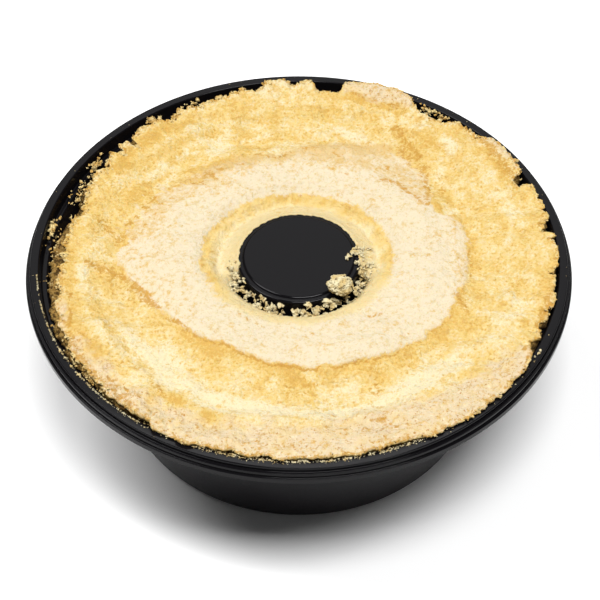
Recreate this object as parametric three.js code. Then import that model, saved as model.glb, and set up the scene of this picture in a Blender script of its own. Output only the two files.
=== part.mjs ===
// Angel food cake in the black moulded tub that it is baked and sold in.
// Millimetres, +Z up. The origin is on the tub's axis, on the surface that the tub stands on.

import * as THREE from 'three';
import { mergeVertices } from 'three/addons/utils/BufferGeometryUtils.js';

const degree = Math.PI / 180;
const clearance = 0.35; // between pieces that touch

// The tub: a tapered ring dish with a stepped rim and a hollow centre post.
const tub = {
	height: 82.3, // to the flat ledge of the rim
	wall: 1,
	segments: 64,
	baseRadius: 79.3, // body, just above the rounded foot
	bodyTopRadius: 107, // body, under the rim's inner step
	footRound: 4,
	stepHeight: 76.6, // the narrow step inside, under the ledge
	stepRadius: 108.4,
	ledgeInner: 109.8,
	ledgeOuter: 112.9,
	beadHeight: 80.2, // the first step down outside the ledge
	beadRadius: 114.1,
	lipHeight: 78,
	lipRadius: 115,
	lipSkirt: 2.6,
	postHeight: 79.6,
	postRadius: 25.9,
	postFootRadius: 32.4,
	footFillet: 2.2,
	discRadius: 23.6, // the raised disc on the post's top
	discStep: 0.7,
};

// The cake: one ring that fills the tub, with a sunken, torn top.
const cake = {
	segments: 128,
	topRings: 15,
	sole: 1.6, // its lowest point, clear of the tub's floor
	innerHeight: 71.2, // where its top meets the post
	edgeRadius: 108.7,
	edgeThickness: 1.1,
	flare: 0.34, // how far its bare side leans out for each millimetre down
	skinStep: 0.7, // what the pale skin and the rim crust stand above the torn crumb
	skinFade: 2.4,
	lumps: 0.75,
	crags: 0.5,
	raggedness: 0.5,
};

// Radius from the axis against height above the ledge, along the ring's top.
const topProfile = [
	[27, -11], [33, -7.4], [38.5, -4], [46, -1.8], [56, -1.4], [66, -2.6],
	[75, -3.9], [84, -2.4], [92, -0.5], [100, 0], [106, -0.5], [113, -1.3],
];

// Where the cake has drawn away from the tub's wall: angle, spread in degrees, depth.
const shrinkage = [
	{ angle: 175, spread: 26, depth: 7.5 },
	{ angle: 140, spread: 35, depth: 4 },
];

// Tongues of crust that lie over the ledge, and bites out of the edge.
const flaps = [
	{ angle: 69.5, halfWidth: 10, reach: 112 },
	{ angle: 34, halfWidth: 7, reach: 111.3 },
	{ angle: 243.5, halfWidth: 6, reach: 110.6 },
	{ angle: 311, halfWidth: 17, reach: 111.6 },
];
const notches = [
	{ angle: 82.5, halfWidth: 5, depth: 6.5 },
	{ angle: 24, halfWidth: 3, depth: 5 },
	{ angle: 7.5, halfWidth: 2.5, depth: 3 },
	{ angle: 125, halfWidth: 4, depth: 2.5 },
	{ angle: 142, halfWidth: 3.5, depth: 2 },
	{ angle: 329, halfWidth: 3, depth: 2 },
];

// Edges of the skin patches: angle against radius, all the way round.
const skinOuterEdge = [
	[0, 70], [15, 70], [25, 62.5], [33, 68], [42, 75], [52, 72], [75, 71], [88, 67], [100, 62], [128, 60],
	[140, 66], [158, 74], [180, 76], [196, 70], [215, 62.5], [240, 58.5], [270, 60], [300, 63], [330, 68],
];
const skinInner = { radius: 39.5, oval: 1.5, shift: 1 };
const rimCrust = { from: 192, to: 333, radius: 95, fade: 8 };

// The large crumb that lies on the post's edge.
const crumb = { angle: -50, radius: 25.3, size: [5.9, 5.6, 4], roughness: 0.09, detail: 2 };

// ---- shared helpers ----

function makeRandom(seed) {
	let state = seed;
	return () => {
		state = (state * 1664525 + 1013904223) % 4294967296;
		return state / 4294967296;
	};
}

// A seeded field of plane waves: lumps of about half the wavelength, from about -1 to 1.
function makeWaves(seed, count, wavelength) {
	const random = makeRandom(seed);
	const waves = [];
	for (let i = 0; i < count; i++) {
		const heading = random() * 2 * Math.PI;
		const length = wavelength * (0.75 + 0.5 * random());
		waves.push({
			x: Math.cos(heading) * 2 * Math.PI / length,
			y: Math.sin(heading) * 2 * Math.PI / length,
			phase: random() * 2 * Math.PI,
		});
	}
	const scale = Math.sqrt(2 / count) * 0.7;
	return (x, y) => scale * waves.reduce((sum, w) => sum + Math.cos(w.x * x + w.y * y + w.phase), 0);
}

function smoothstep(low, high, value) {
	return THREE.MathUtils.smoothstep(value, low, high);
}

// Degrees from one direction to another, between -180 and 180.
function turn(from, to) {
	return THREE.MathUtils.euclideanModulo(to - from + 180, 360) - 180;
}

// Eased value between the points of a table of [place, value] pairs.
function along(table, place) {
	let i = 0;
	while (i < table.length - 2 && place > table[i + 1][0]) {
		i++;
	}
	const [start, end] = [table[i], table[i + 1]];
	return THREE.MathUtils.lerp(start[1], end[1], smoothstep(start[0], end[0], place));
}

function closed(table) {
	return [...table, [table[0][0] + 360, table[0][1]]];
}

function addArc(profile, radius, height, size, fromDegrees, toDegrees, steps) {
	for (let i = 0; i <= steps; i++) {
		const angle = THREE.MathUtils.lerp(fromDegrees, toDegrees, i / steps) * degree;
		profile.push([radius + size * Math.cos(angle), height + size * Math.sin(angle)]);
	}
}

// ---- the tub ----

const bodyTaper = (tub.bodyTopRadius - tub.baseRadius) / (tub.stepHeight - tub.wall - tub.footRound);
const wallAcross = tub.wall * Math.hypot(1, bodyTaper); // wall thickness, measured level

function innerWallRadius(height) {
	return tub.baseRadius + bodyTaper * (height - tub.footRound) - wallAcross;
}

function postWallRadius(height) {
	return THREE.MathUtils.lerp(tub.postFootRadius, tub.postRadius, height / tub.postHeight);
}

function makeTub() {
	const edge = 0.6; // rounding of the moulded corners
	const inner = [[0, tub.postHeight]];
	addArc(inner, tub.discRadius - edge, tub.postHeight - edge, edge, 90, 15, 2);
	const ring = tub.postHeight - tub.discStep;
	inner.push([tub.discRadius + 0.5, ring]);
	addArc(inner, tub.postRadius - 0.9, ring - 0.9, 0.9, 90, 5, 3);
	inner.push([postWallRadius(tub.wall + 3), tub.wall + 3]);
	inner.push([postWallRadius(tub.wall) + tub.footFillet, tub.wall]);
	inner.push([innerWallRadius(tub.wall) - 1.5, tub.wall]);
	inner.push([innerWallRadius(tub.footRound) + 0.2, tub.footRound + 0.6]);
	inner.push([innerWallRadius(tub.stepHeight), tub.stepHeight]);
	inner.push([tub.stepRadius, tub.stepHeight]);
	addArc(inner, tub.ledgeInner + 0.3, tub.height - edge - 0.3, edge + 0.3, 170, 90, 2);
	addArc(inner, tub.ledgeOuter - edge, tub.height - edge, edge, 90, 0, 3);
	inner.push([tub.ledgeOuter + 0.1, tub.beadHeight]);
	addArc(inner, tub.beadRadius - 0.4, tub.beadHeight - 0.4, 0.4, 90, 0, 1);
	inner.push([tub.beadRadius + 0.1, tub.lipHeight]);
	addArc(inner, tub.lipRadius - 0.4, tub.lipHeight - 0.4, 0.4, 90, 0, 1);

	const skirt = tub.lipHeight - tub.lipSkirt;
	const under = [[tub.lipRadius, skirt]];
	under.push([tub.beadRadius - tub.wall + 0.3, skirt]);
	under.push([tub.ledgeOuter - tub.wall, tub.height - tub.wall - 0.4]);
	under.push([tub.ledgeInner + tub.wall, tub.height - tub.wall - 0.4]);
	under.push([tub.stepRadius + tub.wall, tub.stepHeight - tub.wall]);
	under.push([tub.bodyTopRadius, tub.stepHeight - tub.wall]);
	addArc(under, tub.baseRadius - tub.footRound, tub.footRound, tub.footRound, -15, -90, 3);
	under.push([tub.postFootRadius, 0]);
	under.push([postWallRadius(3) - tub.wall, 3]);
	under.push([tub.postRadius - tub.wall, ring - tub.wall - 0.6]);
	under.push([tub.postRadius - tub.wall - 0.8, ring - tub.wall]);
	under.push([0, ring - tub.wall]);

	// From the underside up to the top, so that the faces point out.
	const profile = [...inner, ...under].reverse().map(([r, z]) => new THREE.Vector2(r, z));
	const geometry = new THREE.LatheGeometry(profile, tub.segments);
	geometry.rotateX(Math.PI / 2);
	return geometry;
}

// ---- the cake ----

const skinOuter = closed(skinOuterEdge);
const lumps = makeWaves(11, 9, 44);
const crags = makeWaves(23, 11, 15);
const teeth = makeWaves(37, 9, 13);

function edgeRadiusAt(angle) {
	let radius = cake.edgeRadius;
	for (const place of shrinkage) {
		radius -= place.depth * Math.exp(-((turn(place.angle, angle) / place.spread) ** 2));
	}
	for (const flap of flaps) {
		const share = 1 - smoothstep(0.6, 1, Math.abs(turn(flap.angle, angle)) / flap.halfWidth);
		radius = THREE.MathUtils.lerp(radius, flap.reach, share);
	}
	for (const notch of notches) {
		radius -= notch.depth * (1 - smoothstep(0.4, 1, Math.abs(turn(notch.angle, angle)) / notch.halfWidth));
	}
	const x = cake.edgeRadius * Math.cos(angle * degree);
	const y = cake.edgeRadius * Math.sin(angle * degree);
	return radius + cake.raggedness * teeth(x, y);
}

// How much skin covers a place on the top: 1 on the pale skin and the rim crust, 0 on torn crumb.
function skinAt(radius, angle) {
	const outer = along(skinOuter, angle);
	const oval = skinInner.oval * Math.cos(2 * angle * degree) - skinInner.shift * Math.cos(angle * degree);
	const inner = skinInner.radius + oval;
	const ring = smoothstep(-cake.skinFade, 0, radius - inner) * smoothstep(-cake.skinFade, 0, outer - radius);
	const reach = smoothstep(0, rimCrust.fade, Math.min(angle - rimCrust.from, rimCrust.to - angle));
	const crust = reach * smoothstep(-cake.skinFade, 0, radius - rimCrust.radius);
	return Math.max(ring, crust);
}

function topHeight(radius, angle, overLedge) {
	const x = radius * Math.cos(angle * degree);
	const y = radius * Math.sin(angle * degree);
	const rough = cake.lumps * lumps(x, y) + cake.crags * crags(x, y);
	const calm = smoothstep(27, 40, radius);
	const lift = overLedge * smoothstep(98, 108, radius) * 2.2;
	return tub.height + along(topProfile, radius) + rough * calm + cake.skinStep * skinAt(radius, angle) + lift;
}

// The tub's inside at a height, less the clearance.
function roomRadius(height) {
	const room = height > tub.stepHeight ? tub.stepRadius : innerWallRadius(height);
	return room - clearance;
}

// One closed outline of the ring's section, from the post's foot round over the top and back.
function cakeSection(angle, edge, overLedge) {
	const points = [[postWallRadius(cake.sole) + tub.footFillet + clearance, cake.sole]];
	for (const height of [5, 38, cake.innerHeight]) {
		points.push([postWallRadius(height) + clearance, height]);
	}
	const start = postWallRadius(cake.innerHeight) + clearance + 0.4;
	for (let i = 1; i <= cake.topRings; i++) {
		const radius = THREE.MathUtils.lerp(start, edge, i / cake.topRings);
		points.push([radius, topHeight(radius, angle, overLedge)]);
	}
	const rim = points[points.length - 1];
	const ledgeTop = tub.height + clearance;
	rim[1] = Math.max(rim[1], overLedge ? ledgeTop + cake.edgeThickness : 0);
	const underside = overLedge ? ledgeTop : rim[1] - cake.edgeThickness;
	points.push([edge + 0.2, (rim[1] + underside) / 2]);
	points.push([Math.min(edge, roomRadius(underside) + (overLedge ? edge : 0)), underside]);
	const lean = (height) => Math.min(edge + cake.flare * (rim[1] - height), roomRadius(height));
	points.push([lean(tub.height), underside - (overLedge ? 0 : 0.6)]);
	for (const height of [79, tub.stepHeight + clearance + 0.1]) {
		points.push([lean(height), height]);
	}
	const stepInner = innerWallRadius(tub.stepHeight) - clearance - 0.3;
	points.push([Math.min(lean(tub.stepHeight), stepInner), tub.stepHeight + clearance]);
	for (const height of [72, 66, 38, 6]) {
		points.push([lean(height), height]);
	}
	points.push([roomRadius(6) - 4.4, cake.sole]);
	return points;
}

function makeCake() {
	const positions = [];
	const indices = [];
	const angles = Array.from({ length: cake.segments }, (_, i) => i * 360 / cake.segments);
	const limit = roomRadius(tub.height);
	const edges = angles.map((angle) => edgeRadiusAt(angle));
	const over = edges.map((edge) => edge > limit);
	let size = 0;
	angles.forEach((angle, i) => {
		const last = (i + cake.segments - 1) % cake.segments;
		const next = (i + 1) % cake.segments;
		const overLedge = over[i] || over[last] || over[next] ? 1 : 0;
		const section = cakeSection(angle, edges[i], overLedge);
		size = section.length;
		for (const [radius, height] of section) {
			positions.push(radius * Math.cos(angle * degree), radius * Math.sin(angle * degree), height);
		}
	});
	for (let i = 0; i < cake.segments; i++) {
		const next = (i + 1) % cake.segments;
		for (let j = 0; j < size; j++) {
			const up = (j + 1) % size;
			const [a, b] = [i * size + j, next * size + j];
			const [c, d] = [next * size + up, i * size + up];
			indices.push(a, c, b, a, d, c);
		}
	}
	const geometry = new THREE.BufferGeometry();
	geometry.setAttribute('position', new THREE.Float32BufferAttribute(positions, 3));
	geometry.setIndex(indices);
	geometry.computeVertexNormals();
	return geometry;
}

// ---- the large crumb ----

function makeCrumb() {
	let geometry = new THREE.IcosahedronGeometry(1, crumb.detail);
	geometry.deleteAttribute('normal');
	geometry.deleteAttribute('uv');
	geometry = mergeVertices(geometry);
	const dents = makeWaves(51, 8, 2.2);
	const position = geometry.getAttribute('position');
	const point = new THREE.Vector3();
	for (let i = 0; i < position.count; i++) {
		point.fromBufferAttribute(position, i);
		const bulge = 1 + crumb.roughness * (dents(point.x + point.z, point.y) + dents(point.y, point.z - 3));
		point.multiplyScalar(bulge);
		point.multiply(new THREE.Vector3(...crumb.size));
		position.setXYZ(i, point.x, point.y, Math.max(point.z, -0.75 * crumb.size[2]));
	}
	geometry.computeVertexNormals();
	return geometry;
}

// ---- the part ----

const black = new THREE.MeshStandardMaterial({ color: 0x17171a, roughness: 0.35, metalness: 0 });
const golden = new THREE.MeshStandardMaterial({ color: 0xf3d58f, roughness: 0.9, metalness: 0 });
const pale = new THREE.MeshStandardMaterial({ color: 0xf0dcb0, roughness: 0.9, metalness: 0 });

function addPiece(parent, name, geometry, material) {
	const mesh = new THREE.Mesh(geometry, material);
	mesh.name = name;
	parent.add(mesh);
	return mesh;
}

const part = new THREE.Group();
addPiece(part, 'tub', makeTub(), black);
addPiece(part, 'cake', makeCake(), golden);
const looseCrumb = addPiece(part, 'loose_crumb', makeCrumb(), pale);
looseCrumb.position.set(
	crumb.radius * Math.cos(crumb.angle * degree),
	crumb.radius * Math.sin(crumb.angle * degree),
	tub.postHeight + clearance + 0.75 * crumb.size[2],
);

export default part;
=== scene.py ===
import math
import random
from functools import partial

import bmesh
import bpy
import numpy as np
from mathutils import Matrix, Vector, noise


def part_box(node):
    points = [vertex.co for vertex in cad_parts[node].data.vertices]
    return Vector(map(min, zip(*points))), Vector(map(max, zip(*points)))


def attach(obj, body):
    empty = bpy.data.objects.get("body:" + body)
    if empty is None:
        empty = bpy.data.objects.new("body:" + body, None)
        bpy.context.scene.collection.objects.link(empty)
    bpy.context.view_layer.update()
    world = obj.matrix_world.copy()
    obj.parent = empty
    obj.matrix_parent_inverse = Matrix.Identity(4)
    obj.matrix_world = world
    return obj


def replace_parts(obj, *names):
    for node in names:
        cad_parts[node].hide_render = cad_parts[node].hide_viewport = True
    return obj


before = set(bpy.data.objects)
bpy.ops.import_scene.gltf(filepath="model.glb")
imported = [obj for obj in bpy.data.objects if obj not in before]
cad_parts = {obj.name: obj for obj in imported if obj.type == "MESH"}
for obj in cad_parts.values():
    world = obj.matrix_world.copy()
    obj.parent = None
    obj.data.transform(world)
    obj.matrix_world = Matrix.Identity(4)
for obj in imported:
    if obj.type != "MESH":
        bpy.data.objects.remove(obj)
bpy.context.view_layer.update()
scene = bpy.context.scene
mm = 0.001
clearance = 0.35  # between pieces that touch, in mm as every size below


def ease(low, high, value):
    # 0 at low to 1 at high, whichever is the larger
    share = np.clip((value - low) / (high - low), 0.0, 1.0)
    return share * share * (3 - 2 * share)


def turn(fromAngle, toAngle):
    return (toAngle - fromAngle + 180) % 360 - 180


def along(table, place):
    # eased value between the points of a table of (place, value) pairs
    places, values = np.array(table, float).T
    i = np.clip(np.searchsorted(places, place) - 1, 0, len(places) - 2)
    return values[i] + (values[i + 1] - values[i]) * ease(places[i], places[i + 1], place)


def makeRandom(seed):
    state = seed
    while True:
        state = (state * 1664525 + 1013904223) % 4294967296
        yield state / 4294967296


def makeWaves(seed, count, wavelength):
    # a seeded field of plane waves, from about -1 to 1
    draw = makeRandom(seed)
    waves = []
    for _ in range(count):
        heading = next(draw) * 2 * math.pi
        length = wavelength * (0.75 + 0.5 * next(draw))
        phase = next(draw) * 2 * math.pi
        waves.append((math.cos(heading) * 2 * math.pi / length, math.sin(heading) * 2 * math.pi / length, phase))
    scale = math.sqrt(2 / count) * 0.7
    return lambda x, y: scale * sum(np.cos(kx * x + ky * y + phase) for kx, ky, phase in waves)


def grain(x, y, z, size, octaves=2, seed=0.0):
    # fractal noise with lumps of the given size, in the shape of x
    flat = np.stack([np.ravel(np.broadcast_to(v, np.shape(x))) / size + seed for v in (x, y, z)], 1)
    values = [noise.fractal(p, 0.9, 2.0, octaves) for p in flat.tolist()]
    return np.array(values).reshape(np.shape(x))


def ringGrain(angle, across, height, size, octaves, seed):
    # the same on a cylinder, which draws the lumps out round the ring where it is narrow
    way = np.radians(angle)
    return grain(across * np.cos(way), across * np.sin(way), height, size, octaves, seed)


def plates(x, y, size, seed):
    # broken plates: how far each point is from the nearest crack, in plate widths, and each plate's own level
    flat = np.stack([np.ravel(x) / size + seed, np.ravel(y) / size, 0 * np.ravel(x)], 1)
    found = [noise.voronoi(p) for p in flat.tolist()]
    gap = np.array([(away[1] - away[0]) for away, _ in found]).reshape(x.shape)
    level = np.array([noise.cell(centres[0] * 7.3) for _, centres in found]).reshape(x.shape)
    return gap, level * 2 - 1


def nearLine(x, y, places):
    # distance from each point to a line through (angle, radius) places
    corners = [(r * math.cos(math.radians(a)), r * math.sin(math.radians(a))) for a, r in places]
    best = np.full(np.shape(x), 1e9)
    for (ax, ay), (bx, by) in zip(corners, corners[1:] or corners):
        dx, dy = bx - ax, by - ay
        share = np.clip(((x - ax) * dx + (y - ay) * dy) / max(dx * dx + dy * dy, 1e-9), 0, 1)
        best = np.minimum(best, np.hypot(x - ax - share * dx, y - ay - share * dy))
    return best


def polar(angle, radius, height):
    way = math.radians(angle)
    return Vector((radius * math.cos(way), radius * math.sin(way), height))


def toLinear(hexColour):
    parts = [int(hexColour[i:i + 2], 16) / 255 for i in (1, 3, 5)]
    return tuple(c / 12.92 if c <= 0.04045 else ((c + 0.055) / 1.055) ** 2.4 for c in parts) + (1.0,)


def addNode(tree, kind, inputs=None, output=0, **settings):
    # adds a node with its settings and links, and gives back one of its outputs
    node = tree.nodes.new("ShaderNode" + kind)
    for name, value in settings.items():
        setattr(node, name, value)
    for name, value in (inputs or {}).items():
        if isinstance(value, bpy.types.NodeSocket):
            tree.links.new(value, node.inputs[name])
        else:
            node.inputs[name].default_value = value
    return node.outputs[output] if node.outputs else None


def newMaterial(name):
    material = bpy.data.materials.new(name)
    material.use_nodes = True
    material.node_tree.nodes.clear()
    return material, partial(addNode, material.node_tree)


def addMesh(bm, name, material):
    mesh = bpy.data.meshes.new(name)
    bm.to_mesh(mesh)
    bm.free()
    mesh.materials.append(material)
    made = bpy.data.objects.new(name, mesh)
    scene.collection.objects.link(made)
    return made


def finishPiece(bm, name, material):
    piece = addMesh(bm, name, material)
    piece.data.polygons.foreach_set("use_smooth", [True] * len(piece.data.polygons))
    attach(piece, "root")
    return piece


# Polystyrene sheet, vacuum formed and black all through. Where it touched the mould, on the outside of the body,
# it is satin and mirrors next to nothing; the rim, the post and the inside keep a soft gloss with thin highlights,
# a faint waviness and hair-fine rubbing, 0.8 mm apart so that it shows.
plasticLook = {"ior": 1.46, "rubSize": 0.8, "rubBump": 0.02, "waveSize": 22, "waveBump": 0.05, "finishes": {
    "glossBlackPolystyrene": {"colour": "#0d0c0e", "specular": 0.10, "smoothest": 0.09, "roughest": 0.13},
    "satinBlackPolystyrene": {"colour": "#121113", "specular": 0.02, "smoothest": 0.30, "roughest": 0.36},
}}


def makeBlackPlastic(name):
    look = plasticLook
    finish = look["finishes"][name]
    material, add = newMaterial(name)
    place = add("TexCoord", output="Object")
    rub = add("TexNoise", {"Vector": place, "Scale": 1 / (look["rubSize"] * mm), "Detail": 5})
    wave = add("TexNoise", {"Vector": place, "Scale": 1 / (look["waveSize"] * mm), "Detail": 1})
    rough = add("MapRange", {"Value": rub, "From Min": 0.3, "From Max": 0.7,
                             "To Min": finish["smoothest"], "To Max": finish["roughest"]})
    fine = add("Bump", {"Height": rub, "Strength": look["rubBump"], "Distance": 0.1 * mm})
    bump = add("Bump", {"Height": wave, "Strength": look["waveBump"], "Distance": mm, "Normal": fine})
    shader = add("BsdfPrincipled", {
        "Base Color": toLinear(finish["colour"]), "IOR": look["ior"], "Specular IOR Level": finish["specular"],
        "Roughness": rough, "Normal": bump})
    add("OutputMaterial", {"Surface": shader})
    return material


# Sponge of beaten egg white, baked. Where it is torn it is a matt golden crumb, open and grainy down to half a
# millimetre. Its dried skin is pale and finely flecked, its rim crust peach and cracked, and its bare side brown.
cakeLook = {
    "colours": {
        "cream": "#d5c9a5", "golden": "#cfb36f", "amber": "#c39d51", "tear": "#b3873b",
        "skin": "#cdc0a5", "skinShade": "#c4b28b", "tan": "#c5a974", "fleck": "#b2975a",
        "crust": "#ccba9a", "crustShade": "#c3a56c", "crevice": "#a87a38", "flake": "#ded0ae",
        "postCream": "#cbb786", "bare": "#96773f", "bareDark": "#4a3619",
    },
    "grains": {  # lump size in mm, detail, roughness, distortion, how far it is drawn out round the ring
        "grit": (2.5, 4, 0.74, 0.15, 0), "pore": (1.15, 2, 0.6, 0, 0), "clump": (9, 3, 0.6, 0.5, 0),
        "streak": (2.6, 4, 0.68, 0.2, 0.012), "fleck": (1.3, 2, 0.55, 0.25, 0.032),
    },
    "plates": {"size": 5.5, "bend": 2.4, "bendSize": 2, "drawn": 0.045, "crack": 0.06, "bump": -0.07},
    "zones": {  # attribute, how much each grain moves it, from, to
        "golden": ("tone", {"grit": 2, "pore": 1.4, "clump": 0.5}, -0.10, 0.74),
        "amber": ("tone", {"grit": 2.2, "pore": 1.8, "streak": 0.6}, 0.50, 1.25),
        "torn": ("amber", {"grit": 2.6, "pore": 1.2}, 0.35, 1.05), "pitted": ("hollowShade", {"pore": 1.6}, 0.25, 1),
        "round the post": ("nearPost", {"grit": 0.8}, 0.2, 0.9),
        "inner band": ("innerGold", {"grit": 0.9}, 0, 1),
        "inner rim": ("innerGold", {"grit": 0.7}, 0.80, 1.15),
        "skin": ("skinEdge", {"grit": 6, "pore": 2}, -0.8, 0.8),
        "tanned": ("tan", {"grit": 2.6, "clump": 0.8}, 0.1, 0.9),
        "crust": ("crustEdge", {"clump": 14, "grit": 10}, -3.4, 3),
        "bare": ("bare", {"grit": 1.2}, 0.35, 0.75),
    },
    "paint": [  # zone, colour, strength, and for patches of it the grain and the range where it shows
        # the third entry here paints shade: amber in the hollows of the mesh relief
        ("golden", "golden", 1), ("amber", "amber", 0.95), ("pitted", "amber", 0.6),
        # the second entry here paints warm shade: amber in the hollows of the bump, where grit is low
        ("golden", "tear", 0.5, "pore", 0.61, 0.70), ("all", "amber", 0.45, "grit", 0.47, 0.34),
        ("round the post", "postCream", 0.85), ("inner band", "golden", 1), ("inner rim", "amber", 0.7),
        ("skin", "skin", 1), ("skin", "skinShade", 0.8, "grit", 0.46, 0.66),
        ("tanned", "tan", 0.85), ("tanned", "crustShade", 0.5, "grit", 0.50, 0.62),
        ("tanned", "skin", 0.5, "clump", 0.50, 0.38), ("tanned", "amber", 0.6, "grit", 0.56, 0.66),
        ("tanned", "tear", 0.6, "pore", 0.59, 0.68), ("skin", "fleck", 0.24, "fleck", 0.60, 0.68),
        ("skin", "fleck", 0.45, "pore", 0.61, 0.72), ("skin", "fleck", 0.2, "hair", 0.3, 0.9),
        ("crust", "crust", 0.95), ("crust", "crustShade", 0.6, "grit", 0.50, 0.64),
        ("crust", "golden", 0.25, "clump", 0.52, 0.40), ("crust", "flake", 0.7, "grit", 0.44, 0.30),
        ("crust", "crust", 0.35, "clump", 0.56, 0.70), ("crust", "amber", 0.55, "grit", 0.575, 0.64),
        ("crust", "crevice", 0.8, "pore", 0.62, 0.66), ("crust", "crevice", 0.4, "fleck", 0.645, 0.70),
        ("crust", "tear", 0.45, "hair", 0.4, 0.9), ("torn", "tear", 0.85),
        ("bare", "bareDark", 1), ("bare", "bare", 1, "grit", 0.44, 0.56),
    ],
    "bump": 0.8, "bumpDepth": 1.5, "roughness": 0.88, "glow": 0.3, "glowDepth": 1.2, "glowSpread": (1, 0.6, 0.3),
}


def makeCakeMaterial():
    look = cakeLook
    material, add = newMaterial("angelFoodSponge")
    place = add("TexCoord", output="Object")
    flat = add("VectorMath", {0: place, 1: (1, 1, 0)}, operation="MULTIPLY")
    reach = add("CombineXYZ", {"Z": add("VectorMath", {0: flat}, "Value", operation="LENGTH")})
    way = add("VectorMath", {0: flat}, operation="NORMALIZE")
    grains = {}
    for name, (size, detail, rough, distortion, drawn) in look["grains"].items():
        ring = place
        if drawn:
            ring = add("VectorMath", {0: way, 1: (drawn, drawn, 0), 2: reach}, operation="MULTIPLY_ADD")
        grains[name] = add("TexNoise", {"Vector": ring, "Scale": 1 / (size * mm), "Detail": detail,
                                        "Roughness": rough, "Distortion": distortion})
    # hair cracks between plates of dried crust, which come and go
    plate = look["plates"]
    ring = add("VectorMath", {0: way, 1: (plate["drawn"],) * 3, 2: reach}, operation="MULTIPLY_ADD")
    bend = add("TexNoise", {"Vector": place, "Scale": 1 / (plate["bendSize"] * mm), "Detail": 2}, "Color")
    ring = add("VectorMath", {0: bend, 1: (plate["bend"] * mm,) * 3, 2: ring}, operation="MULTIPLY_ADD")
    gap = add("TexVoronoi", {"Vector": ring, "Scale": 1 / (plate["size"] * mm)}, "Distance",
              feature="DISTANCE_TO_EDGE")
    hair = add("MapRange", {"Value": gap, "From Min": plate["crack"], "From Max": 0.01})
    shows = add("MapRange", {"Value": grains["clump"], "From Min": 0.46, "From Max": 0.58})
    grains["hair"] = add("Math", {0: hair, 1: shows}, operation="MULTIPLY")
    zones = {"all": add("Value")}
    zones["all"].default_value = 1
    for name, (attribute, amounts, low, high) in look["zones"].items():
        value = add("Attribute", output="Fac", attribute_name=attribute)
        for grainName, amount in amounts.items():
            value = add("Math", {0: grains[grainName], 1: amount, 2: value}, operation="MULTIPLY_ADD")
        middle = sum(amounts.values()) / 2
        zones[name] = add("MapRange", {"Value": value, "From Min": low + middle, "From Max": high + middle},
                          interpolation_type="SMOOTHSTEP")
    surface = toLinear(look["colours"]["cream"])
    for zone, colour, strength, *patches in look["paint"]:
        patch = strength
        if patches:
            grainName, low, high = patches
            patch = add("MapRange", {"Value": grains[grainName], "From Min": low, "From Max": high,
                                     "To Max": strength}, interpolation_type="SMOOTHSTEP")
        share = add("Math", {0: zones[zone], 1: patch}, operation="MULTIPLY")
        surface = add("MixRGB", {"Fac": share, "Color1": surface, "Color2": toLinear(look["colours"][colour])})
    # relief too fine for the mesh: open sponge, skin that is nearly flat, and crust with cracks between its plates
    crumb = add("Math", {0: grains["pore"], 1: 0.5, 2: grains["grit"]}, operation="MULTIPLY_ADD")
    dry = add("Math", {0: crumb, 1: 0.6, 2: 0.3}, operation="MULTIPLY_ADD")
    relief = add("Mix", {0: zones["skin"], 2: crumb, 3: dry})
    parted = add("Math", {0: zones["crust"], 1: grains["hair"]}, operation="MULTIPLY")
    relief = add("Math", {0: parted, 1: plate["bump"], 2: relief}, operation="MULTIPLY_ADD")
    bump = add("Bump", {"Height": relief, "Strength": look["bump"], "Distance": look["bumpDepth"] * mm})
    shader = add("BsdfPrincipled", {
        "Base Color": surface, "Roughness": look["roughness"], "IOR": 1.4, "Specular IOR Level": 0.2,
        "Normal": bump, "Subsurface Weight": look["glow"], "Subsurface Radius": look["glowSpread"],
        "Subsurface Scale": look["glowDepth"] * mm})
    add("OutputMaterial", {"Surface": shader})
    return material


# Crumbs broken off the cake: the same sponge in small pieces with pits, and painted shade in the pits as dark veins.
# Those from the middle are cream, those from the edge golden.
crumbLook = {"pitSize": 1.2, "patchSize": 3.2, "bump": 0.8, "bumpDepth": 0.7, "paintedPitShade": "#4a3216", "kinds": {
    "creamSpongeCrumb": {"pale": "#cfc49f", "warm": "#c0a974"},
    "goldenSpongeCrumb": {"pale": "#d0bb84", "warm": "#bb944d"},
}}


def makeCrumbMaterial(name):
    look = crumbLook
    colours = look["kinds"][name]
    material, add = newMaterial(name)
    place = add("TexCoord", output="Object")
    pits = add("TexNoise", {"Vector": place, "Scale": 1 / (look["pitSize"] * mm), "Detail": 4,
                            "Roughness": 0.62, "Distortion": 0.5})
    patch = add("TexNoise", {"Vector": place, "Scale": 1 / (look["patchSize"] * mm), "Detail": 2})
    warm = add("MapRange", {"Value": patch, "From Min": 0.42, "From Max": 0.62})
    tint = add("MixRGB", {"Fac": warm, "Color1": toLinear(colours["pale"]), "Color2": toLinear(colours["warm"])})
    # painted shade: the dark colour goes where the pits sink the bump
    dark = add("MapRange", {"Value": pits, "From Min": 0.55, "From Max": 0.63})
    tint = add("MixRGB", {"Fac": dark, "Color1": tint, "Color2": toLinear(look["paintedPitShade"])})
    bump = add("Bump", {"Height": pits, "Strength": look["bump"], "Distance": look["bumpDepth"] * mm}, invert=True)
    shader = add("BsdfPrincipled", {"Base Color": tint, "Roughness": 0.9, "Specular IOR Level": 0.2, "Normal": bump})
    add("OutputMaterial", {"Surface": shader})
    return material


glossPlastic = makeBlackPlastic("glossBlackPolystyrene")
satinPlastic = makeBlackPlastic("satinBlackPolystyrene")
sponge = makeCakeMaterial()
creamCrumb = makeCrumbMaterial("creamSpongeCrumb")
goldenCrumb = makeCrumbMaterial("goldenSpongeCrumb")
print("materials made")

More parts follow.
